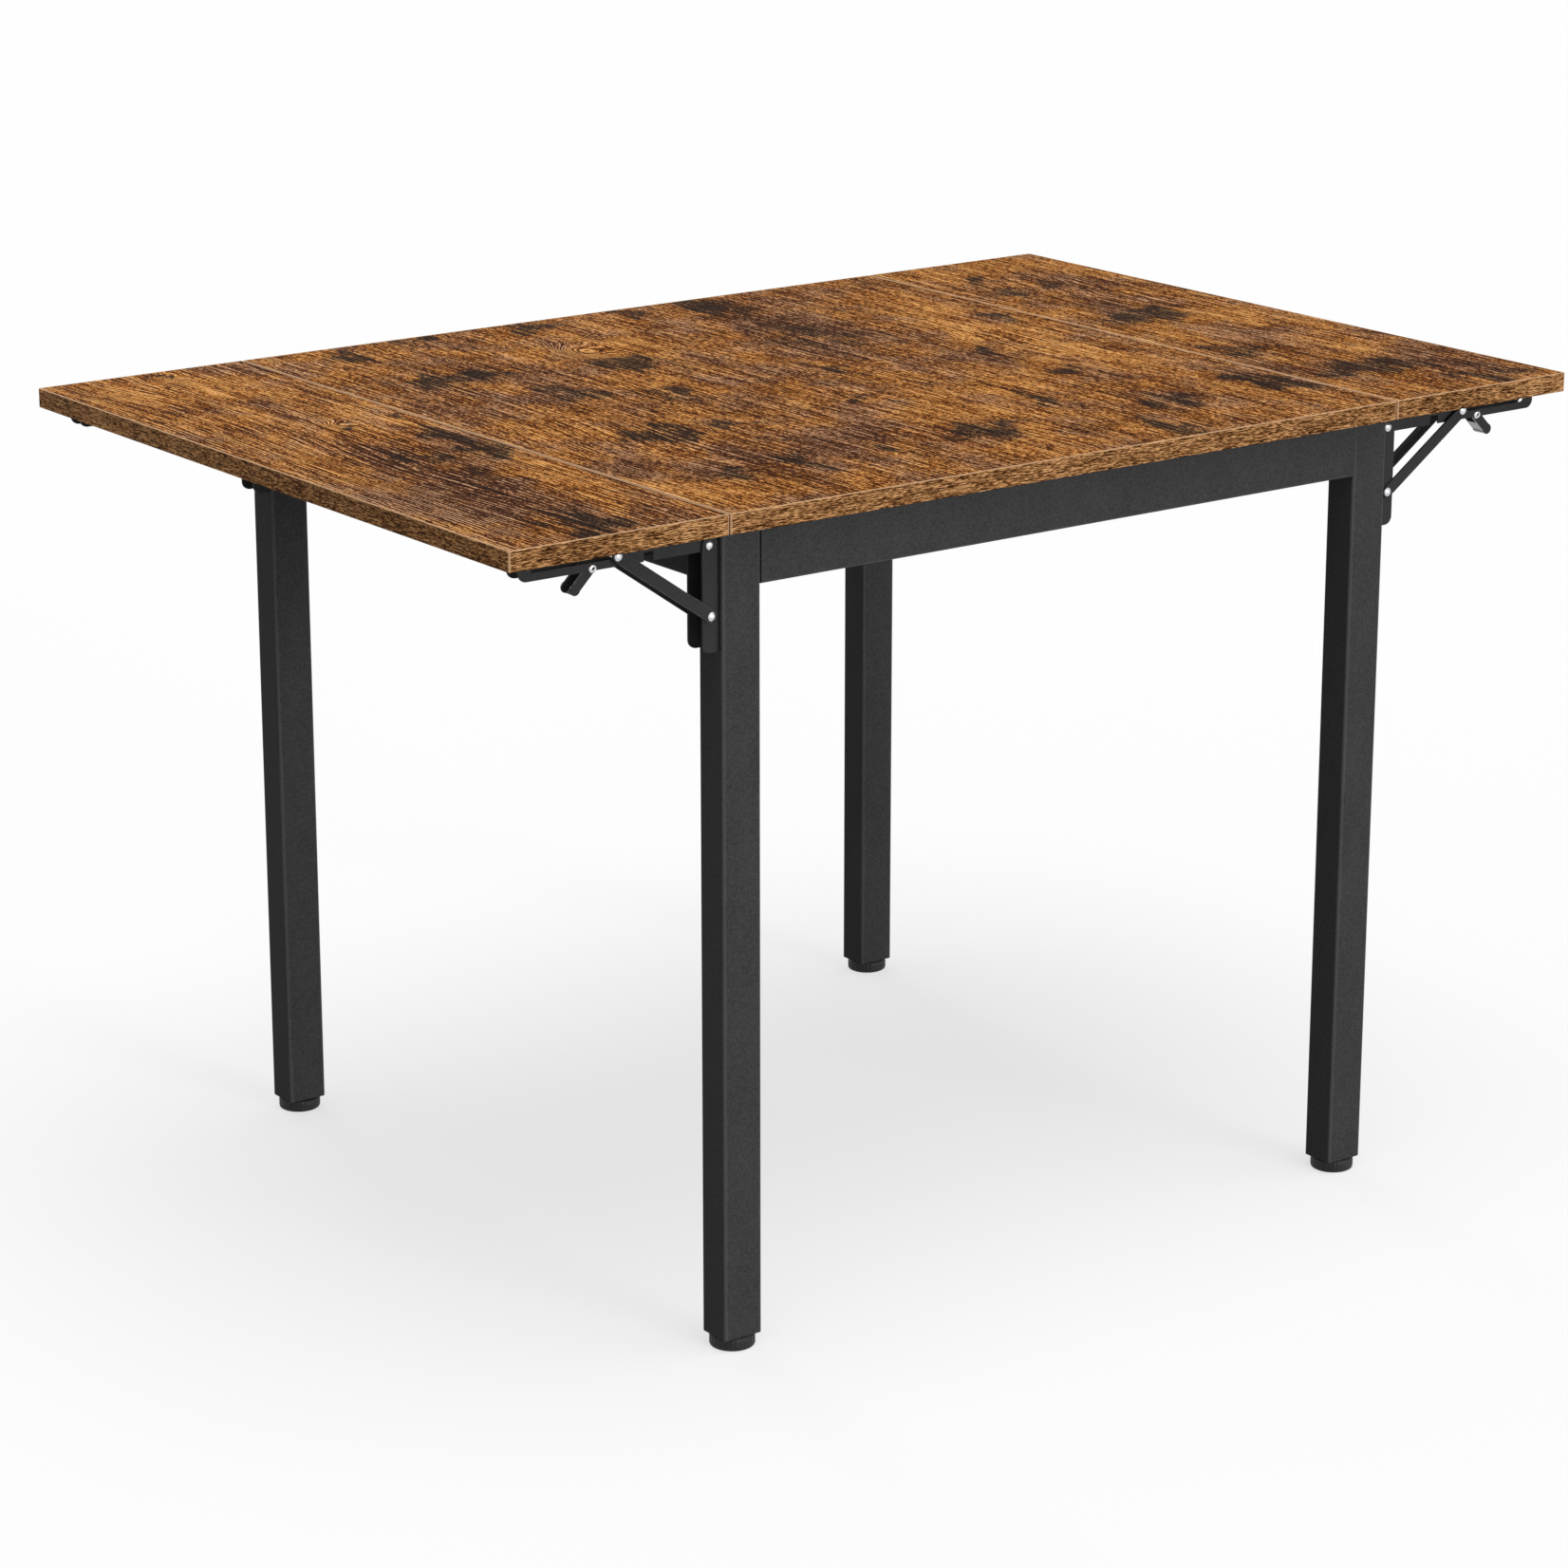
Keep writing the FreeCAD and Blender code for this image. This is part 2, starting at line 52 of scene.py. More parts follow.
MM = 0.001
X, Y, Z = range(3)
SIDES = ("left", "right")
ROWS = ("front", "back")
LEGS = [f"{row}_{side}" for row in ROWS for side in SIDES]
BRACKETS = [f"{side}_{row}" for side in SIDES for row in ROWS]


# Node trees

def shade(red, green, blue):
    """A colour as seen on screen, 0 to 255, turned into the linear values that a shader takes."""
    seen = np.array((red, green, blue)) / 255
    return (*np.where(seen <= 0.04045, seen / 12.92, ((seen + 0.055) / 1.055) ** 2.4), 1)


def coat_grey(level):
    """A grey of this level on screen, a touch cooler than neutral."""
    return shade(level, level, level + 1)


class Finish:
    """One material. Most calls add a node and give back its output; feed and relief reach the shader."""

    def __init__(self, name, roughness, specular, metallic=0.0):
        self.material = bpy.data.materials.new(name)
        self.material.use_nodes = True
        self.tree = self.material.node_tree
        self.shader = self.tree.nodes["Principled BSDF"]
        self.shader.inputs["Roughness"].default_value = roughness
        self.shader.inputs["Specular IOR Level"].default_value = specular
        self.shader.inputs["Metallic"].default_value = metallic

    def add(self, kind, inputs, output=0, **settings):
        """A node of this kind: an input that is a socket is linked, any other is set."""
        made = self.tree.nodes.new("ShaderNode" + kind)
        for key, value in settings.items():
            setattr(made, key, value)
        for key, value in inputs.items():
            if isinstance(value, bpy.types.NodeSocket):
                self.tree.links.new(value, made.inputs[key])
            else:
                made.inputs[key].default_value = value
        return made.outputs[output]

    def math(self, operation, *values):
        """One step of arithmetic on the values, in their order."""
        return self.add("Math", dict(enumerate(values)), operation=operation)

    def feed(self, socket, value):
        """Links a value to the shader."""
        self.tree.links.new(value, self.shader.inputs[socket])

    def place(self):
        """Object coordinates, in metres."""
        return self.add("TexCoord", {}, "Object")

    def run(self):
        """The piece's own map: metres along it and metres across it."""
        return self.add("UVMap", {}, uv_map="run")

    def field(self, name):
        """A number that the piece's mesh carries at each point."""
        return self.add("Attribute", {}, "Fac", attribute_name=name)

    def noise(self, vector, size, detail=2.0, roughness=0.5, seed=0.0):
        """Noise whose spots measure size, in millimetres along each axis."""
        scaled = self.add("Mapping", {"Vector": vector, "Location": (seed, 1.7 * seed, 0.6 * seed),
                                      "Scale": [1 / (length * MM) for length in size]})
        return self.add("TexNoise", {"Vector": scaled, "Scale": 1.0, "Detail": detail,
                                     "Roughness": roughness})

    def layered(self, base, *terms):
        """base plus each (value, weight): the value's swing about one half, times the weight."""
        total = base - sum(weight for _, weight in terms) / 2
        for value, weight in terms:
            total = self.math("MULTIPLY_ADD", value, weight, total)
        return total

    def rise(self, value, start, end, low=0.0, high=1.0):
        """low up to start, high past end, smooth between."""
        limits = {"From Min": start, "From Max": end, "To Min": low, "To Max": high}
        return self.add("MapRange", {"Value": value, **limits}, interpolation_type="SMOOTHSTEP")

    def thin(self, value, width):
        """1 along the lines on which a noise passes its middle, 0 where it is width away from that."""
        away = self.math("ABSOLUTE", self.math("SUBTRACT", value, 0.5))
        return self.rise(away, 0.3 * width, width, 1.0, 0.0)

    def ramp(self, value, *stops):
        """Colours along value, each stop (place, colour)."""
        made = self.add("ValToRGB", {0: value}).node
        elements = made.color_ramp.elements
        for element, (place, colour) in zip((elements[0], elements[-1]), (stops[0], stops[-1])):
            element.position = place
            element.color = colour
        for place, colour in stops[1:-1]:
            elements.new(place).color = colour
        return made.outputs["Color"]

    def mix(self, share, first, second):
        """The first colour at share 0, the second at share 1."""
        return self.add("Mix", {0: share, 6: first, 7: second}, 2, data_type="RGBA")

    def relief(self, height, depth):
        """Bump of depth millimetres."""
        self.feed("Normal", self.add("Bump", {"Height": height, "Distance": depth * MM}))


# Finishes

CHARCOAL = ((0.0, shade(29, 19, 13)), (0.5, shade(59, 43, 33)), (1.0, shade(115, 87, 63)))
WARM_BROWN = ((0.0, shade(51, 22, 4)), (0.26, shade(99, 52, 14)), (0.51, shade(150, 87, 33)),
              (0.74, shade(193, 124, 55)), (0.94, shade(231, 173, 104)))
DULL_BROWN = ((0.0, shade(44, 21, 9)), (0.26, shade(80, 46, 25)), (0.51, shade(118, 75, 46)),
              (0.74, shade(159, 110, 76)), (0.94, shade(207, 162, 125)))
BAND_BROWN = ((0.0, shade(46, 25, 11)), (0.25, shade(84, 53, 26)), (0.5, shade(126, 84, 48)),
              (0.75, shade(168, 119, 73)), (1.0, shade(212, 162, 110)))
NICK_BROWN = shade(50, 27, 25)
# Colours of the pale rim, a painted highlight on the edge band's rounded edges
RIM_HIGHLIGHT_DARK = shade(176, 132, 94)
RIM_HIGHLIGHT_TAN = shade(222, 184, 144)
GRAIN_WANDER = 24 * MM
# The painted highlight beside each dark grain line sits this far to one side, where the embossed grain's
# lit side would be
GRAIN_HIGHLIGHT_SHIFT = 1.1 * MM


def board_print(name, seed):
    """Rustic wood print: grain lines along Y that bend round the knots, each dark line with a pale one
    beside it, a painted highlight on the embossed grain's lit side, warm and dull patches, dark nicks and
    charcoal scorch marks with streaked edges."""
    wood = Finish(name, roughness=0.6, specular=0.005)
    at = wood.place()
    wander = wood.noise(at, (160, 420, 100), 1.0, seed=seed)
    bend = wood.math("MULTIPLY_ADD", wander, GRAIN_WANDER, wood.field("bend"))
    grain = wood.add("VectorMath", {0: at, 1: wood.add("CombineXYZ", {"X": bend})}, operation="ADD")
    # The grain moved sideways, for the pale twin lines that paint the lit side of the embossed grain
    aside = wood.add("VectorMath", {0: grain, 1: (GRAIN_HIGHLIGHT_SHIFT, 0.0, 0.0)}, operation="ADD")
    lines, grain_highlights = (wood.noise(place, (3.0, 95, 40), 2.0, 0.6, seed) for place in (grain, aside))
    pores = wood.noise(grain, (1.6, 8, 40), 2.0, 0.6, seed + 3)
    specks = wood.noise(at, (2.2, 3.4, 4), 2.0, 0.6, seed + 4)
    streaks = wood.noise(grain, (8, 150, 60), 3.0, 0.65, seed + 5)
    mottle = wood.noise(grain, (16, 44, 60), 3.0, 0.6, seed + 7)
    tone = wood.noise(at, (60, 110, 100), 2.0, 0.5, seed + 9)
    hue = wood.noise(at, (48, 70, 100), 3.0, 0.6, seed + 12)
    nicks = wood.noise(grain, (7, 12, 40), 2.0, 0.5, seed + 15)
    veins, vein_highlights = (wood.thin(wood.noise(place, (8, 120, 60), 1.0, 0.5, seed + 18), 0.05)
                         for place in (grain, aside))
    waves = wood.add("TexWave", {"Vector": grain, "Scale": 68.0, "Distortion": 3.0, "Detail": 2.0,
                                 "Detail Scale": 0.8}, 1, bands_direction="X")
    patch = wood.field("patch")
    scorch = wood.field("scorch")
    rings = wood.math("MULTIPLY", wood.field("rings"), wood.layered(0.0, (waves, 1.0)))
    value = wood.layered(0.445, (lines, 3.7), (grain_highlights, -2.0), (pores, 2.2), (specks, 2.4),
                         (streaks, 0.9), (mottle, 0.9), (tone, 0.6))
    # The veins' pale twins are a painted highlight beside each dark vein
    over = ((rings, 0.85), (patch, 0.15), (scorch, -0.2), (veins, -0.42), (vein_highlights, 0.26))
    for layer, weight in over:
        value = wood.math("MULTIPLY_ADD", layer, weight, value)
    warmth = wood.math("MULTIPLY_ADD", patch, 0.5, wood.layered(0.61, (hue, 2.9), (specks, 0.6)))
    brown = wood.mix(wood.rise(warmth, 0.0, 1.0), wood.ramp(value, *DULL_BROWN),
                     wood.ramp(value, *WARM_BROWN))
    brown = wood.mix(wood.rise(nicks, 0.68, 0.75, 0.0, 0.8), brown, NICK_BROWN)
    ragged = wood.layered(1.3, (mottle, -2.6), (streaks, -3.6), (lines, -2.2), (specks, -1.4))
    burnt = wood.rise(wood.math("MULTIPLY", scorch, ragged), 0.3, 0.8, 0.0, 0.9)
    wood.feed("Base Color", wood.mix(burnt, brown, wood.ramp(value, *CHARCOAL)))
    wood.feed("Roughness", wood.layered(0.6, (lines, 0.2), (mottle, 0.15)))
    wood.relief(wood.layered(0.5, (lines, 0.5), (pores, 0.6)), 0.25)
    return wood.material


def band_print(seed):
    """Edge band: short dark flecks along the strip, and a pale rim that is a painted highlight on its
    rounded top edge and upright corners.
    """
    band = Finish("edge_band_print", roughness=0.6, specular=0.02)
    along = band.run()
    flecks = band.noise(along, (5.0, 0.9, 1), 2.0, 0.6, seed)
    hairs = band.noise(along, (18, 0.8, 1), 1.0, 0.5, seed + 3)
    streaks = band.noise(along, (46, 3.5, 1), 2.0, 0.5, seed + 5)
    tone = band.noise(along, (110, 40, 1), 2.0, 0.5, seed + 7)
    value = band.layered(0.5, (flecks, 3.1), (hairs, 2.6), (streaks, 0.8), (tone, 0.5))
    brown = band.ramp(value, *BAND_BROWN)
    # Flecks and streaks break up the painted highlight of the rim
    rim_breaks = band.layered(0.0, (flecks, 0.5), (streaks, 0.4))
    rim = band.math("ADD", rim_breaks, band.field("rim"))
    pale = band.mix(hairs, RIM_HIGHLIGHT_DARK, RIM_HIGHLIGHT_TAN)
    band.feed("Base Color", band.mix(band.rise(rim, 0.35, 0.75, 0.0, 0.9), brown, pale))
    band.feed("Roughness", band.layered(0.55, (hairs, 0.2)))
    band.relief(band.layered(0.5, (flecks, 0.6), (hairs, 0.4)), 0.15)
    return band.material


def powder_coat(name, dark, light, roughness, speckle, edge_highlight=None):
    """Fine-textured coat on steel: sub-millimetre orange peel, specks of about 2 mm, faint cloudiness,
    and with a highlight colour, a painted highlight that makes edges paler where the piece's edge field is
    high."""
    coat = Finish(name, roughness=roughness, specular=0.03)
    at = coat.place()
    peel = coat.noise(at, (0.9, 0.9, 0.9), 2.0, 0.6)
    clouds = coat.noise(at, (26, 26, 60), 3.0, 0.55, 4.0)
    grit = coat.noise(at, (1.9, 1.9, 1.9), 2.0, 0.65, 8.0)
    value = coat.layered(0.5, (peel, 0.8), (clouds, 0.5), (grit, speckle))
    colour = coat.ramp(value, (0.1, dark), (0.9, light))
    if edge_highlight is not None:
        # Painted highlight: the edge field, broken by clouds and grit, mixes in the paler colour
        highlight_share = coat.math("ADD", coat.layered(0.0, (clouds, 0.9), (grit, 0.5)), coat.field("edge"))
        colour = coat.mix(coat.rise(highlight_share, 0.3, 0.9, 0.0, 0.75), colour, edge_highlight)
    coat.feed("Base Color", colour)
    coat.feed("Roughness", coat.layered(roughness, (peel, 0.2), (clouds, 0.12)))
    coat.relief(coat.layered(0.5, (peel, 0.8), (grit, 0.3)), 0.12)
    return coat.material


def rubbed_and_highlit_edge():
    """Sheared edge of a pressed plate, where the coat is thin and steel shows through; its pale greys are
    partly a painted highlight.
    """
    edge = Finish("bracket_rubbed_edge", roughness=0.4, specular=0.4, metallic=0.35)
    at = edge.place()
    breaks = edge.noise(at, (7, 7, 7), 3.0, 0.6)
    grit = edge.noise(at, (0.8, 0.8, 0.8), 2.0, 0.6, 3.0)
    value = edge.layered(0.5, (breaks, 1.3), (grit, 0.5))
    edge.feed("Base Color", edge.ramp(value, (0.2, shade(52, 52, 53)), (0.55, shade(96, 97, 99)),
                                      (0.85, shade(176, 178, 180))))
    edge.feed("Roughness", edge.layered(0.42, (grit, 0.3)))
    return edge.material


def bare_steel_and_reflection():
    """Steel with no coat: pale grey, a painted reflection of the white surroundings, with short marks along
    Y.
    """
    steel = Finish("bare_steel_and_reflection", roughness=0.45, specular=0.5, metallic=0.25)
    at = steel.place()
    marks = steel.noise(at, (0.5, 3.0, 0.5), 2.0, 0.6)
    cloud = steel.noise(at, (6, 6, 6), 2.0, 0.5, 4.0)
    value = steel.layered(0.5, (marks, 0.9), (cloud, 0.8))
    steel.feed("Base Color", steel.ramp(value, (0.15, shade(186, 187, 189)), (0.85, shade(238, 238, 239))))
    steel.feed("Roughness", steel.layered(0.45, (marks, 0.3)))
    steel.relief(marks, 0.04)
    return steel.material


def zinc_plate():
    """Bright zinc-plated steel: a bluish-white sheen with faint spangle and fine scratches."""
    zinc = Finish("zinc_plate", roughness=0.3, specular=0.5, metallic=1.0)
    at = zinc.place()
    spangle = zinc.noise(at, (2.2, 2.2, 2.2), 2.0, 0.5)
    scratch = zinc.noise(at, (6, 0.35, 0.5), 2.0, 0.6, 5.0)
    value = zinc.layered(0.5, (spangle, 0.9), (scratch, 0.5))
    zinc.feed("Base Color", zinc.ramp(value, (0.15, shade(172, 174, 178)), (0.85, shade(236, 237, 238))))
    zinc.feed("Roughness", zinc.layered(0.3, (spangle, 0.25), (scratch, 0.15)))
    zinc.relief(scratch, 0.03)
    return zinc.material


def moulded_plastic():
    """Black moulding of the feet: a fine matt grain, faint flow marks and dust-grey scuffs."""
    plastic = Finish("foot_moulding", roughness=0.5, specular=0.25)
    at = plastic.place()
    grain = plastic.noise(at, (0.6, 0.6, 0.6), 2.0, 0.6)
    flow = plastic.noise(at, (14, 14, 3), 3.0, 0.6, 3.0)
    scuff = plastic.noise(at, (2.5, 2.5, 1.2), 3.0, 0.65, 6.0)
    value = plastic.layered(0.45, (grain, 0.4), (flow, 0.6), (scuff, 0.6))
    plastic.feed("Base Color", plastic.ramp(value, (0.2, shade(22, 22, 23)), (0.6, shade(38, 38, 39)),
                                            (0.95, shade(74, 73, 72))))
    plastic.feed("Roughness", plastic.layered(0.5, (grain, 0.25), (scuff, 0.2)))
    plastic.relief(plastic.layered(0.5, (grain, 0.7), (flow, 0.4)), 0.1)
    return plastic.material


# The frame coat gets a painted highlight along the tubes' rounded corners, in the paler grey
FRAME_COAT = powder_coat("frame_coat", coat_grey(52), coat_grey(72), 0.6, 1.6, edge_highlight=coat_grey(86))
HIDDEN_COAT = powder_coat("fitting_coat", coat_grey(48), coat_grey(66), 0.6, 1.6)
BRACKET_COAT = powder_coat("bracket_coat", coat_grey(46), coat_grey(66), 0.48, 0.4)
RUBBED_AND_HIGHLIT_EDGE = rubbed_and_highlit_edge()
BARE_STEEL_AND_REFLECTION = bare_steel_and_reflection()
ZINC = zinc_plate()
FOOT_PLASTIC = moulded_plastic()
BAND_PRINT = band_print(2.0)


# Meshes

SAME_PLACE = 0.01 * MM
STILL_FLAT = radians(1)


def faces_outward(points, faces):
    """True where a closed mesh of quads has its faces outwards: its signed volume isn't negative."""
    a, b, c, d = (points[faces[:, k]] for k in range(4))
    volume = np.einsum("ij,ij->", a, np.cross(b, c)) + np.einsum("ij,ij->", a, np.cross(c, d))
    return volume >= 0


def carry(mesh, fields):
    """Gives the mesh each named field, one number to a point."""
    for key, values in fields.items():
        stored = mesh.attributes.new(key, "FLOAT", "POINT")
        stored.data.foreach_set("value", np.ravel(values).astype(np.float32))


def sweep(name, rings, wrap_rings, fields=None, run=None):
    """Mesh of a grid of points, rings[ring, step]: every ring closes on itself, and the rings too if
    wrapped. run gives metres along the rings and along the steps, one more of each than a wrapped side
    has."""
    count, steps = rings.shape[:2]
    spans = np.arange(count if wrap_rings else count - 1)
    ring, step = (g.ravel() for g in np.meshgrid(spans, np.arange(steps), indexing="ij"))
    corners = [(ring, step), (ring + 1, step), (ring + 1, step + 1), (ring, step + 1)]
    faces = np.stack([(r % count) * steps + s % steps for r, s in corners], 1)
    points = rings.reshape(-1, 3)
    if not faces_outward(points, faces):
        corners = corners[::-1]
        faces = faces[:, ::-1]
    mesh = bpy.data.meshes.new(name)
    mesh.from_pydata(points.tolist(), [], faces.tolist())
    carry(mesh, {key: np.broadcast_to(values, (count, steps)) for key, values in (fields or {}).items()})
    if run is not None:
        uv = np.stack([np.stack([run[0][r], run[1][s]], -1) for r, s in corners], 1)
        mesh.uv_layers.new(name="run").data.foreach_set("uv", uv.astype(np.float32).ravel())
    mesh.polygons.foreach_set("use_smooth", np.ones(len(faces), bool))
    return mesh


def weld(mesh, flatten=False):
    """Merges the points of a mesh that coincide, as at a pole, and if asked the triangles of each flat
    face."""
    shape = bmesh.new()
    shape.from_mesh(mesh)
    bmesh.ops.remove_doubles(shape, verts=shape.verts, dist=SAME_PLACE)
    if flatten:
        bmesh.ops.dissolve_limit(shape, angle_limit=STILL_FLAT, verts=shape.verts, edges=shape.edges)
    shape.to_mesh(mesh)
    shape.free()
    return mesh


def stand(name, data):
    """A new object in the scene, at the origin."""
    obj = bpy.data.objects.new(name, data)
    bpy.context.scene.collection.objects.link(obj)
    return obj


def piece(name, mesh, finish, body, slot, *nodes):
    """A new object with this finish, which rides on a body and stands for CAD nodes; slot is not used."""
    obj = stand(name, mesh)
    mesh.materials.append(finish)
    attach(obj, body)
    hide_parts(*nodes)
    return obj


def body_of(node):
    """The name of the body that a node is on."""
    return next(body for body, members in BODIES.items() if node in members)


def box_corners(node):
    """A node's lowest and highest corners, as arrays."""
    return (np.array(corner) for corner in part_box(node))


# Boards

# Scorch marks: place across and along the table, half width, half length (mm), strength
CENTRE_MARKS = [
    (-262, 204, 58, 26, 1.0), (-208, 80, 29, 43, 0.8), (-246, -115, 38, 38, 1.2), (-169, -112, 18, 24, 0.8),
    (-86, 169, 43, 38, 1.0), (-69, 369, 29, 31, 1.0), (-200, 392, 43, 22, 0.9), (-292, 350, 29, 36, 0.7),
    (-138, 31, 24, 58, 0.8), (138, 169, 60, 132, 0.5), (142, 362, 36, 48, 0.75), (54, 377, 17, 41, 0.7),
    (54, 31, 14, 54, 0.6), (-8, -273, 41, 31, 1.0), (-215, -277, 18, 41, 0.75), (-288, -285, 24, 24, 0.8),
    (-119, -281, 18, 22, 0.8), (123, -192, 14, 46, 0.7), (212, -277, 29, 41, 0.8), (346, -262, 31, 53, 0.9),
    (142, -369, 36, 41, 0.8), (342, 123, 22, 36, 0.7), (223, 19, 12, 36, 0.7), (231, -108, 18, 24, 0.7),
    (77, -77, 14, 46, 0.6), (-8, -92, 19, 29, 0.6),
]
RIGHT_MARKS = [
    (469, 54, 43, 36, 1.15), (454, 308, 22, 26, 0.7), (469, -269, 62, 34, 1.0), (423, -131, 22, 43, 0.75),
    (435, 223, 22, 36, 0.7), (538, -362, 48, 41, 0.6), (508, 238, 36, 36, 0.5),
]
LEFT_MARKS = [
    (-402, -72, 24, 34, 1.1), (-404, 15, 17, 46, 0.7), (-468, -66, 20, 34, 0.6), (-492, -362, 31, 43, 0.9),
    (-485, 365, 10, 11, 0.9), (-458, 92, 8, 10, 0.9), (-398, 100, 7, 8, 0.8), (-485, -177, 54, 180, 0.35),
]
# Knots, which push the grain aside: place, half width, half length, push (mm)
CENTRE_KNOTS = [(-96, 242, 24, 34, 40), (240, -20, 40, 90, 16), (-300, -180, 60, 120, 22)]
RIGHT_KNOTS = [(490, 130, 50, 110, 24)]
LEFT_KNOTS = [
    (-552, 404, 34, 110, 26), (-485, 365, 12, 16, 18), (-458, 92, 10, 14, 14), (-520, -120, 40, 200, 20),
]
# Where the year rings print as plain lines, dark and pale in turn: place, half width, half length, strength
CENTRE_RINGS = [(-96, 238, 34, 40, 1.3), (300, -20, 30, 90, 0.6), (262, 120, 16, 90, 0.6)]
RIGHT_RINGS = [(560, 60, 30, 200, 0.5)]
LEFT_RINGS = [
    (-575, 120, 26, 320, 0.9), (-565, -280, 44, 130, 1.4), (-458, 92, 20, 24, 0.8),
    (-480, 160, 80, 260, 0.45), (-470, -220, 70, 160, 0.6),
]
# Warm light patches, and dull dark ones with a minus: place, half width, half length, strength
CENTRE_PATCHES = [
    (-30, 240, 45, 60, 1.0), (-105, 80, 30, 45, 1.2), (-320, -60, 45, 40, 0.9), (30, -150, 40, 70, 1.0),
    (260, 120, 14, 100, 0.9), (300, -20, 36, 110, 1.1), (310, 260, 40, 60, 1.1), (170, -130, 45, 50, 0.7),
    (-150, 270, 26, 60, 0.7), (310, -320, 60, 40, 0.6), (-340, -320, 45, 60, 0.8), (20, -330, 40, 40, 0.6),
    (150, 240, 60, 130, -1.3), (80, 100, 40, 60, -0.8), (-240, -250, 110, 70, -1.1),
    (-90, -220, 50, 60, -0.8), (-280, 100, 60, 40, -0.8), (-230, 190, 70, 35, -0.7),
    (230, -270, 45, 40, -0.7), (350, -250, 36, 60, -0.8), (210, -30, 36, 50, -0.6),
    (-10, -100, 30, 40, -0.5), (-10, 40, 40, 40, -0.5),
]
RIGHT_PATCHES = [
    (490, 350, 70, 40, 1.1), (545, 0, 45, 32, 1.4), (420, -20, 28, 50, 1.0), (510, -190, 40, 30, 0.7),
    (490, 170, 60, 70, -0.9), (450, -110, 50, 60, -0.7), (480, -250, 90, 40, -0.7),
    (550, -330, 40, 60, -0.9),
]
LEFT_PATCHES = [
    (-510, 330, 80, 70, 0.9), (-450, 120, 60, 140, 0.7), (-430, -210, 26, 56, 1.2),
    (-540, 180, 30, 50, 0.9), (-490, -170, 46, 170, -1.5), (-490, 220, 50, 30, -0.6),
    (-550, -270, 44, 90, -1.1), (-410, -30, 26, 70, -0.8),
]
GRID = 3.2 * MM


def spots(x, y, places):
    """Sum over the places of strength x exp(-(dx / half width)^2 - (dy / half length)^2)."""
    total = np.zeros_like(x)
    for across, along, half_width, half_length, strength in places:
        total += strength * np.exp(-((x - across) / half_width) ** 2 - ((y - along) / half_length) ** 2)
    return total


def uneven(x, y):
    """x and y moved by crossing sine waves about 50 mm long and 3 to 9 mm high, which makes round spots
    ragged."""
    shift_x = 7 * np.sin(y / 9.1 + 0.9) + 5 * np.sin((x - y) / 12.0) + 3 * np.sin((x + 2 * y) / 17.0 + 2.0)
    shift_y = 9 * np.sin(x / 8.3 + 0.4) + 6 * np.sin((x + y) / 10.5 + 1.1) + 5 * np.sin((2 * x - y) / 21.0)
    return x + shift_x, y + shift_y


def board(name, node, seed, marks, knots, rings, patches):
    """A box whose top is a fine grid over x and y, carrying scorch, bend, rings and patch as smooth
    functions of the two."""
    low, high = box_corners(node)
    x, y = (np.linspace(low[k], high[k], int((high[k] - low[k]) / GRID) + 1) for k in (X, Y))
    nx, ny = len(x), len(y)
    top_x, top_y = (g.ravel() for g in np.meshgrid(x, y, indexing="ij"))
    top = np.stack([top_x, top_y, np.full(nx * ny, high[Z])], 1)
    feet = np.array([(low[X], low[Y]), (high[X], low[Y]), (high[X], high[Y]), (low[X], high[Y])])
    points = np.vstack([top, np.column_stack([feet, np.full(4, low[Z])])])
    index = np.arange(nx * ny).reshape(nx, ny)
    quads = np.stack([index[:-1, :-1], index[1:, :-1], index[1:, 1:], index[:-1, 1:]], -1).reshape(-1, 4)
    first = nx * ny
    edges = (index[:, 0], index[-1, :], index[::-1, -1], index[0, ::-1])
    walls = [[first + k, first + (k + 1) % 4, *edge[::-1].tolist()] for k, edge in enumerate(edges)]
    under = [first + 3, first + 2, first + 1, first]
    mesh = bpy.data.meshes.new(name)
    mesh.from_pydata(points.tolist(), [], quads.tolist() + walls + [under])
    across, along = points[:, X] / MM, points[:, Y] / MM
    ragged = uneven(across, along)
    carry(mesh, {"scorch": spots(*ragged, marks), "bend": spots(across, along, knots) * MM,
                 "rings": spots(across, along, rings), "patch": spots(*ragged, patches)})
    return piece(name, mesh, board_print(name + "_print", seed), body_of(node), "board", node)


board("centre_board", "centre_panel", 0.0, CENTRE_MARKS, CENTRE_KNOTS, CENTRE_RINGS, CENTRE_PATCHES)
board("left_leaf_board", "left_leaf_panel", 11.0, LEFT_MARKS, LEFT_KNOTS, LEFT_RINGS, LEFT_PATCHES)
board("right_leaf_board", "right_leaf_panel", 23.0, RIGHT_MARKS, RIGHT_KNOTS, RIGHT_RINGS, RIGHT_PATCHES)

# Edge bands

BAND = 2.0 * MM
BAND_ROUND = 0.7 * MM
ROUND_STEPS = 5
TURN_STEPS = 9
# The pale rim, a painted highlight, starts this far below the top, is full after the fade and ends short of
# the board; the gain spreads it round the upright corners
RIM_START = 0.6 * MM
RIM_FADE = 0.3 * MM
RIM_INNER = 0.25 * BAND
CORNER_RIM = 2.2


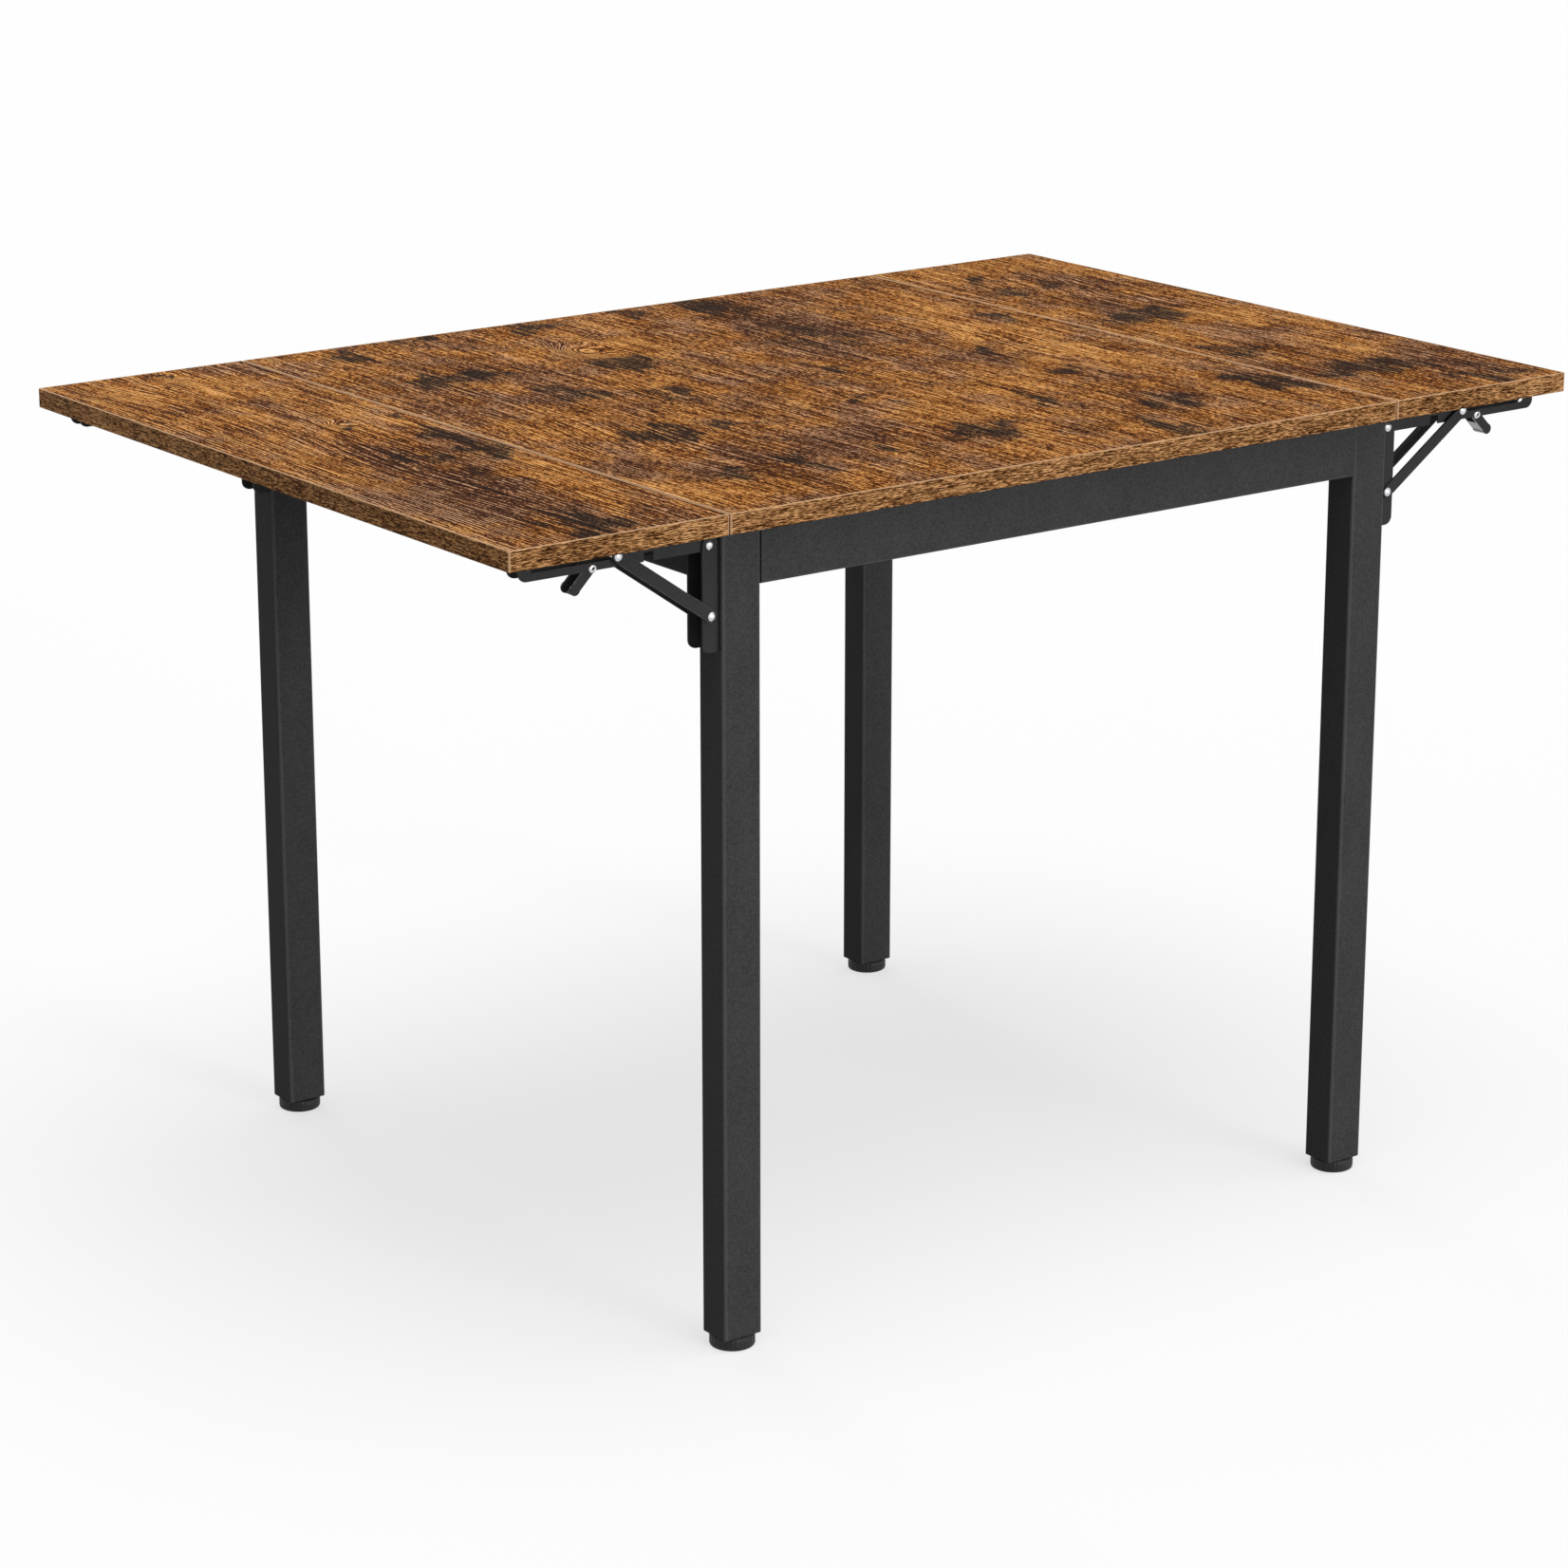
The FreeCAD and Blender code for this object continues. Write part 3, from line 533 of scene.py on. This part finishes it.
def edge_band(name, node):
    """A flat strip's section, its two outer edges rounded, carried round the board; the strip turns each
    corner on a quarter circle about the board's own corner."""
    low, high = box_corners(node)
    height = high[Z] - low[Z]
    quarter = np.linspace(0, pi / 2, ROUND_STEPS)
    lower = np.stack([BAND - BAND_ROUND * (1 - np.sin(quarter)), BAND_ROUND * (1 - np.cos(quarter))], 1)
    upper = np.stack([lower[::-1, 0], height - lower[::-1, 1]], 1)
    section = np.vstack([[(0, 0)], lower, [(BAND, 2 * BAND_ROUND), (BAND, height - 2 * BAND_ROUND)],
                         upper, [(RIM_INNER, height), (0, height)]])
    near = low + BAND
    far = high - BAND
    inner = np.array([(far[X], far[Y]), (near[X], far[Y]), (near[X], near[Y]), (far[X], near[Y])])
    turn = np.linspace(0, pi / 2, TURN_STEPS)
    angle = (np.arange(4)[:, None] * pi / 2 + turn).ravel()
    centre = np.repeat(inner, len(turn), axis=0)
    facing = np.stack([np.cos(angle), np.sin(angle)], 1)
    flat = centre[:, None] + facing[:, None] * section[None, :, :1]
    rings = np.concatenate([flat, np.broadcast_to(low[Z] + section[:, 1], flat.shape[:2])[..., None]], 2)
    outer = centre + facing * BAND
    stretches = np.linalg.norm(np.diff(np.vstack([outer, outer[:1]]), axis=0), axis=1)
    along = np.append(0, np.cumsum(stretches))
    across = np.append(section[:, 1], 0) + np.append(BAND - section[:, 0], 0)
    # The rim field places the painted highlight: along the rounded top edge and round the upright corners
    top_rim_highlight = np.clip((section[:, 1] - (height - RIM_START)) / RIM_FADE, 0, 1)
    top_rim_highlight = top_rim_highlight * (section[:, 0] >= RIM_INNER)
    corner_rim_highlight = np.tile(np.clip(CORNER_RIM * np.sin(2 * turn), 0, 1), 4)
    rim = np.maximum(top_rim_highlight[None], corner_rim_highlight[:, None])
    mesh = weld(sweep(name, rings, True, {"rim": rim}, (along, across)))
    return piece(name, mesh, BAND_PRINT, body_of(node), "edge_band", node)


for board_name in ("centre", "left_leaf", "right_leaf"):
    edge_band(f"{board_name}_banding", f"{board_name}_edge_bands")

# Frame tubes

TUBE_WALL = 1.5 * MM
LEG_CORNER = 3.0 * MM
LEG_LIP = 0.5 * MM
RAIL_CORNER = 2.0 * MM
RAIL_LIP = 0.3 * MM
LEAST_CORNER = 0.3 * MM
CORNER_STEPS = 7
# Extra points on the flats, this far past each corner's ends, keep the flats' shading flat
SUPPORT = 2.0 * MM
# Painted highlight on a corner, a paler coat: at its two ends, and in its middle; the flats have none
END_HIGHLIGHT = 0.4
MIDDLE_HIGHLIGHT = 1.0


def tube(name, node, axis, corner, lip):
    """A rounded rectangle carried along a straight axis, in over a rounded lip at both open ends and back
    inside, so that the wall closes."""
    low, high = box_corners(node)
    first, second = (k for k in (X, Y, Z) if k != axis)
    round_lip = np.array([(3 * lip, 0), (lip, 0), (0.3 * lip, 0.3 * lip), (0, lip), (0, TUBE_WALL)])
    stations = np.vstack([np.column_stack([low[axis] + round_lip[:, 0], round_lip[:, 1]]),
                          np.column_stack([high[axis] - round_lip[::-1, 0], round_lip[::-1, 1]])])
    quarter = np.linspace(0, pi / 2, CORNER_STEPS)
    angle = np.concatenate([k * pi / 2 + np.concatenate([[0], quarter, [pi / 2]]) for k in range(4)])
    slide = np.tile([-1] + [0] * CORNER_STEPS + [1], 4) * SUPPORT
    size = (high - low)[[first, second]]
    middle = ((high + low) / 2)[[first, second]]
    quadrant = np.repeat(np.arange(4), CORNER_STEPS + 2) * pi / 2 + pi / 4
    sign = np.sign(np.stack([np.cos(quadrant), np.sin(quadrant)], 1))
    facing = np.stack([np.cos(angle), np.sin(angle)], 1)
    sideways = np.stack([-np.sin(angle), np.cos(angle)], 1)
    inset = stations[:, 1][:, None, None]
    radius = np.maximum(corner - inset, LEAST_CORNER)
    flat = middle + sign * (size / 2 - inset - radius) + facing * radius + sideways * slide[:, None]
    rings = np.empty((len(stations), len(angle), 3))
    rings[..., first] = flat[..., 0]
    rings[..., second] = flat[..., 1]
    rings[..., axis] = stations[:, 0][:, None]
    # The edge field places the painted highlight along each rounded corner
    corner_highlight = np.concatenate([[0], END_HIGHLIGHT + (MIDDLE_HIGHLIGHT - END_HIGHLIGHT) * np.sin(2 * quarter), [0]])
    mesh = sweep(name, rings, True, {"edge": np.tile(corner_highlight, 4)[None]})
    return piece(name, mesh, FRAME_COAT, body_of(node), "frame_steel", node)


for leg in LEGS:
    tube(f"{leg}_leg_tube", f"{leg}_leg", Z, LEG_CORNER, LEG_LIP)
for row in ROWS:
    tube(f"{row}_apron_tube", f"{row}_apron", X, RAIL_CORNER, RAIL_LIP)
for side in SIDES:
    tube(f"{side}_end_rail_tube", f"{side}_end_rail", Y, RAIL_CORNER, RAIL_LIP)

# Feet

FLUTES = 30
FLUTE_STEPS = 6
FLUTE_DEPTH = 0.5 * MM
PAD_HEIGHT = 12 * MM
STEM_RADIUS = 4.0 * MM
STEM_TIP = 0.2 * MM
THREAD_PITCH = 1.5 * MM
THREAD_STEPS = 6
THREAD_DEPTH = 0.6 * MM
# From the sole's middle to the stem: share of the pad's radius, height (mm), share of the flutes' depth
FOOT_PAD = np.array([
    (0.0, 0.3, 0), (0.6, 0.15, 0), (0.84, 0.0, 0), (0.91, 0.25, 0.1), (0.965, 0.9, 0.4), (0.99, 1.7, 0.8),
    (1.0, 3.0, 1), (1.0, 8.5, 1), (0.99, 10.2, 0.8), (0.96, 11.2, 0.4), (0.9, 11.8, 0.1), (0.82, 12.0, 0),
    (0.5, 12.0, 0),
])


def foot(name, node):
    """Turned about the stem: a fluted pad with a slightly hollow sole, then a threaded stem whose radius
    falls and rises once a pitch, the crest moving round with the angle."""
    low, high = box_corners(node)
    centre = (low + high) / 2
    pad_radius = (high[X] - low[X]) / 2
    share, pad_z, fluted = (FOOT_PAD[:, k, None] for k in range(3))
    pad_top = low[Z] + PAD_HEIGHT
    turns = (high[Z] - pad_top) / THREAD_PITCH
    stem_z = np.linspace(pad_top, high[Z] - STEM_TIP, int(turns * THREAD_STEPS))
    angle = np.linspace(0, 2 * pi, FLUTE_STEPS * FLUTES, endpoint=False)
    groove = 0.5 + 0.5 * np.cos(FLUTES * angle)
    pad_r = share * pad_radius - fluted * FLUTE_DEPTH * groove
    crest = np.abs(2 * ((stem_z[:, None] / THREAD_PITCH - angle / (2 * pi)) % 1) - 1)
    stem_r = STEM_RADIUS - THREAD_DEPTH * crest
    radius = np.vstack([pad_r, stem_r, np.zeros((1, len(angle)))])
    height = np.concatenate([low[Z] + pad_z[:, 0] * MM, stem_z, [high[Z]]])
    rings = np.stack([centre[X] + radius * np.cos(angle), centre[Y] + radius * np.sin(angle),
                      np.broadcast_to(height[:, None], radius.shape)], 2)
    mesh = weld(sweep(name, rings, False))
    return piece(name, mesh, FOOT_PLASTIC, body_of(node), "foot_plastic", node)


for leg in LEGS:
    foot(f"{leg}_fluted_foot", f"{leg}_foot")

# Folding brackets

EASED = 0.35 * MM
EASED_STEPS = 2
# Edges that turn by more than these angles are shaded sharp, and are eased
SHADED_SHARP = radians(35)
EASED_FROM = radians(40)
# A face counts as square to a direction where its normal has this share along it
NEARLY_SQUARE = 0.95
# Places of the finishes on a plate: coat, thinned coat with a painted highlight, and uncoated steel with a
# painted reflection
COATED, RUBBED_AND_HIGHLIT, BARE_AND_REFLECTING = range(3)
RIVET_STEPS = 40
# Radius and depth (mm) from the hollow's middle, over the rolled lip, to the shank
RIVET_HEAD = np.array([(0, 6.0), (1.2, 6.0), (1.4, 5.7), (1.4, 0.7), (1.47, 0.3), (1.65, 0.06), (1.95, 0),
                       (2.5, 0.1), (3.1, 0.4), (3.6, 0.8), (3.9, 1.2), (4.0, 1.5), (2.0, 1.5)]) * MM


def eased_plate(name, node, bare_and_reflecting=None):
    """The node's own shape with its corners merged and its sharp edges rounded; the rounds show thinned
    coat with a painted highlight, and the faces square to the given direction show uncoated steel with a
    painted reflection."""
    mesh = NODES[node].data.copy()
    mesh.name = name
    mesh.materials.clear()
    weld(mesh, flatten=True)
    if "custom_normal" in mesh.attributes:
        mesh.attributes.remove(mesh.attributes["custom_normal"])
    mesh.polygons.foreach_set("use_smooth", np.ones(len(mesh.polygons), bool))
    mesh.set_sharp_from_angle(angle=SHADED_SHARP)
    obj = piece(name, mesh, BRACKET_COAT, body_of(node), "bracket_steel", node)
    mesh.materials.append(RUBBED_AND_HIGHLIT_EDGE)
    if bare_and_reflecting is not None:
        mesh.materials.append(BARE_STEEL_AND_REFLECTION)
        normals = np.empty(3 * len(mesh.polygons), np.float32)
        mesh.polygons.foreach_get("normal", normals)
        # Faces square to this direction take the pale steel that paints a reflection of the white
        # surroundings
        square = np.abs(normals.reshape(-1, 3) @ np.array(bare_and_reflecting)) > NEARLY_SQUARE
        mesh.polygons.foreach_set("material_index", np.where(square, BARE_AND_REFLECTING, COATED).astype(np.int32))
    bevel = obj.modifiers.new("eased_edges", "BEVEL")
    bevel.width = EASED
    bevel.segments = EASED_STEPS
    bevel.material = RUBBED_AND_HIGHLIT
    bevel.limit_method = "ANGLE"
    bevel.angle_limit = EASED_FROM
    return obj


def hollow_rivet(name, node, row):
    """Turned about a line along Y: a rolled head with a hollow in it, a shank, and the same head at the
    other end."""
    points = np.empty(3 * len(NODES[node].data.vertices))
    NODES[node].data.vertices.foreach_get("co", points)
    points = points.reshape(-1, 3)
    points = points[points[:, Y] < 0] if row == "front" else points[points[:, Y] > 0]
    low, high = points.min(axis=0), points.max(axis=0)
    middle = (low + high) / 2
    radius = np.concatenate([RIVET_HEAD[:, 0], RIVET_HEAD[::-1, 0]])[:, None]
    place = np.concatenate([low[Y] + RIVET_HEAD[:, 1], high[Y] - RIVET_HEAD[::-1, 1]])[:, None]
    angle = np.linspace(0, 2 * pi, RIVET_STEPS, endpoint=False)
    rings = np.stack([middle[X] + radius * np.cos(angle), np.broadcast_to(place, (len(place), len(angle))),
                      middle[Z] + radius * np.sin(angle)], 2)
    mesh = weld(sweep(name, rings, False))
    return piece(name, mesh, ZINC, body_of(node), "zinc_steel", node)


for side in SIDES:
    for row in ROWS:
        hollow_rivet(f"{side}_{row}_lever_rivet", f"{side}_lever_rivets", row)

for bracket in BRACKETS:
    for plate in ("wall_channel", "arm", "strut"):
        eased_plate(f"{bracket}_{plate}_plate", f"{bracket}_{plate}")
    # The lever is a trough that hangs outwards at 45 degrees, and its rims and web are uncoated steel
    # whose pale grey is a painted reflection of the white surroundings
    outer = -1 if bracket.startswith("left") else 1
    eased_plate(f"{bracket}_lever_plate", f"{bracket}_lever", (outer * sqrt(0.5), 0, sqrt(0.5)))


# Pieces that keep their own shape

def refinish(finish, *names):
    """Puts a finish on CAD nodes."""
    for name in names:
        mesh = NODES[name].data
        mesh.materials.clear()
        mesh.materials.append(finish)


refinish(HIDDEN_COAT, "panel_tabs", "rail_stubs")
refinish(FOOT_PLASTIC, "leg_plugs")
refinish(ZINC, "panel_screws", "rail_bolts", "wall_channel_screws", "hinge_rivets", "strut_rivets")
refinish(ZINC, *(f"{side}_arm_screws" for side in SIDES))
refinish(ZINC, *(f"{bracket}_{part}" for bracket in BRACKETS for part in ("pin_caps", "slide_pin")))


# Floor, light and camera

FLOOR_HALF = 40.0
FLOOR_PAINT = 0.36
SKY_LIGHT = 0.38
# Name, strength, then in degrees: width, lean from straight above to the front, turn about Z
LAMPS = [
    ("top_light", 1.5, 50, 9, 10),
    ("front_light", 1.75, 24, 82, 10),
    ("back_light", 0.9, 24, -82, -10),
]
# Sensor and lens in mm, place in metres
SENSOR_WIDTH = 36.0
FOCAL_LENGTH = 106.15
CAMERA_PLACE = (-2.5726, -3.4274, 1.6431)
CAMERA_TURN = (radians(73.366), 0, radians(-36.592))


def seen_directly(tree):
    """1 for rays from the camera, from a mirror-like surface or through a clear one, else 0."""
    path = tree.nodes.new("ShaderNodeLightPath")
    total = path.outputs["Is Camera Ray"]
    for name in ("Is Glossy Ray", "Is Transmission Ray"):
        join = tree.nodes.new("ShaderNodeMath")
        join.operation = "MAXIMUM"
        tree.links.new(total, join.inputs[0])
        tree.links.new(path.outputs[name], join.inputs[1])
        total = join.outputs[0]
    return total


def pale_floor():
    """A flat square whose paint takes light and shadow, with a glow that only direct sight gets, so that
    the lit floor looks white."""
    mesh = bpy.data.meshes.new("floor")
    corners = [(-FLOOR_HALF, -FLOOR_HALF, 0), (FLOOR_HALF, -FLOOR_HALF, 0), (FLOOR_HALF, FLOOR_HALF, 0),
               (-FLOOR_HALF, FLOOR_HALF, 0)]
    mesh.from_pydata(corners, [], [(0, 1, 2, 3)])
    floor = stand("floor", mesh)
    paint = bpy.data.materials.new("floor_paint")
    paint.use_nodes = True
    tree = paint.node_tree
    tree.nodes.clear()
    matt = tree.nodes.new("ShaderNodeBsdfDiffuse")
    matt.inputs["Color"].default_value = (FLOOR_PAINT, FLOOR_PAINT, FLOOR_PAINT, 1)
    glow = tree.nodes.new("ShaderNodeEmission")
    share = tree.nodes.new("ShaderNodeMath")
    share.operation = "MULTIPLY"
    share.inputs[1].default_value = 1 - FLOOR_PAINT
    tree.links.new(seen_directly(tree), share.inputs[0])
    tree.links.new(share.outputs[0], glow.inputs["Strength"])
    both = tree.nodes.new("ShaderNodeAddShader")
    tree.links.new(matt.outputs[0], both.inputs[0])
    tree.links.new(glow.outputs[0], both.inputs[1])
    tree.links.new(both.outputs[0], tree.nodes.new("ShaderNodeOutputMaterial").inputs["Surface"])
    mesh.materials.append(paint)


def soft_sky():
    """An even sky that lights at SKY_LIGHT and looks white."""
    world = bpy.data.worlds.new("studio")
    world.use_nodes = True
    bpy.context.scene.world = world
    tree = world.node_tree
    sky = tree.nodes["Background"]
    sky.inputs["Color"].default_value = (1, 1, 1, 1)
    level = tree.nodes.new("ShaderNodeMapRange")
    level.inputs["To Min"].default_value = SKY_LIGHT
    tree.links.new(seen_directly(tree), level.inputs["Value"])
    tree.links.new(level.outputs[0], sky.inputs["Strength"])


def soft_light(name, strength, width, lean, turn):
    """A far, broad lamp, set by a row of LAMPS."""
    lamp = bpy.data.lights.new(name, "SUN")
    lamp.energy = strength
    lamp.angle = radians(width)
    light = stand(name, lamp)
    light.rotation_euler = (radians(lean), 0, radians(turn))


def photo_camera():
    """The photograph's view, with no shift."""
    lens = bpy.data.cameras.new("camera")
    lens.sensor_width = SENSOR_WIDTH
    lens.lens = FOCAL_LENGTH
    camera = stand("camera", lens)
    camera.location = CAMERA_PLACE
    camera.rotation_euler = CAMERA_TURN
    bpy.context.scene.camera = camera


pale_floor()
soft_sky()
for settings in LAMPS:
    soft_light(*settings)
photo_camera()
bpy.context.scene.view_settings.view_transform = "Standard"
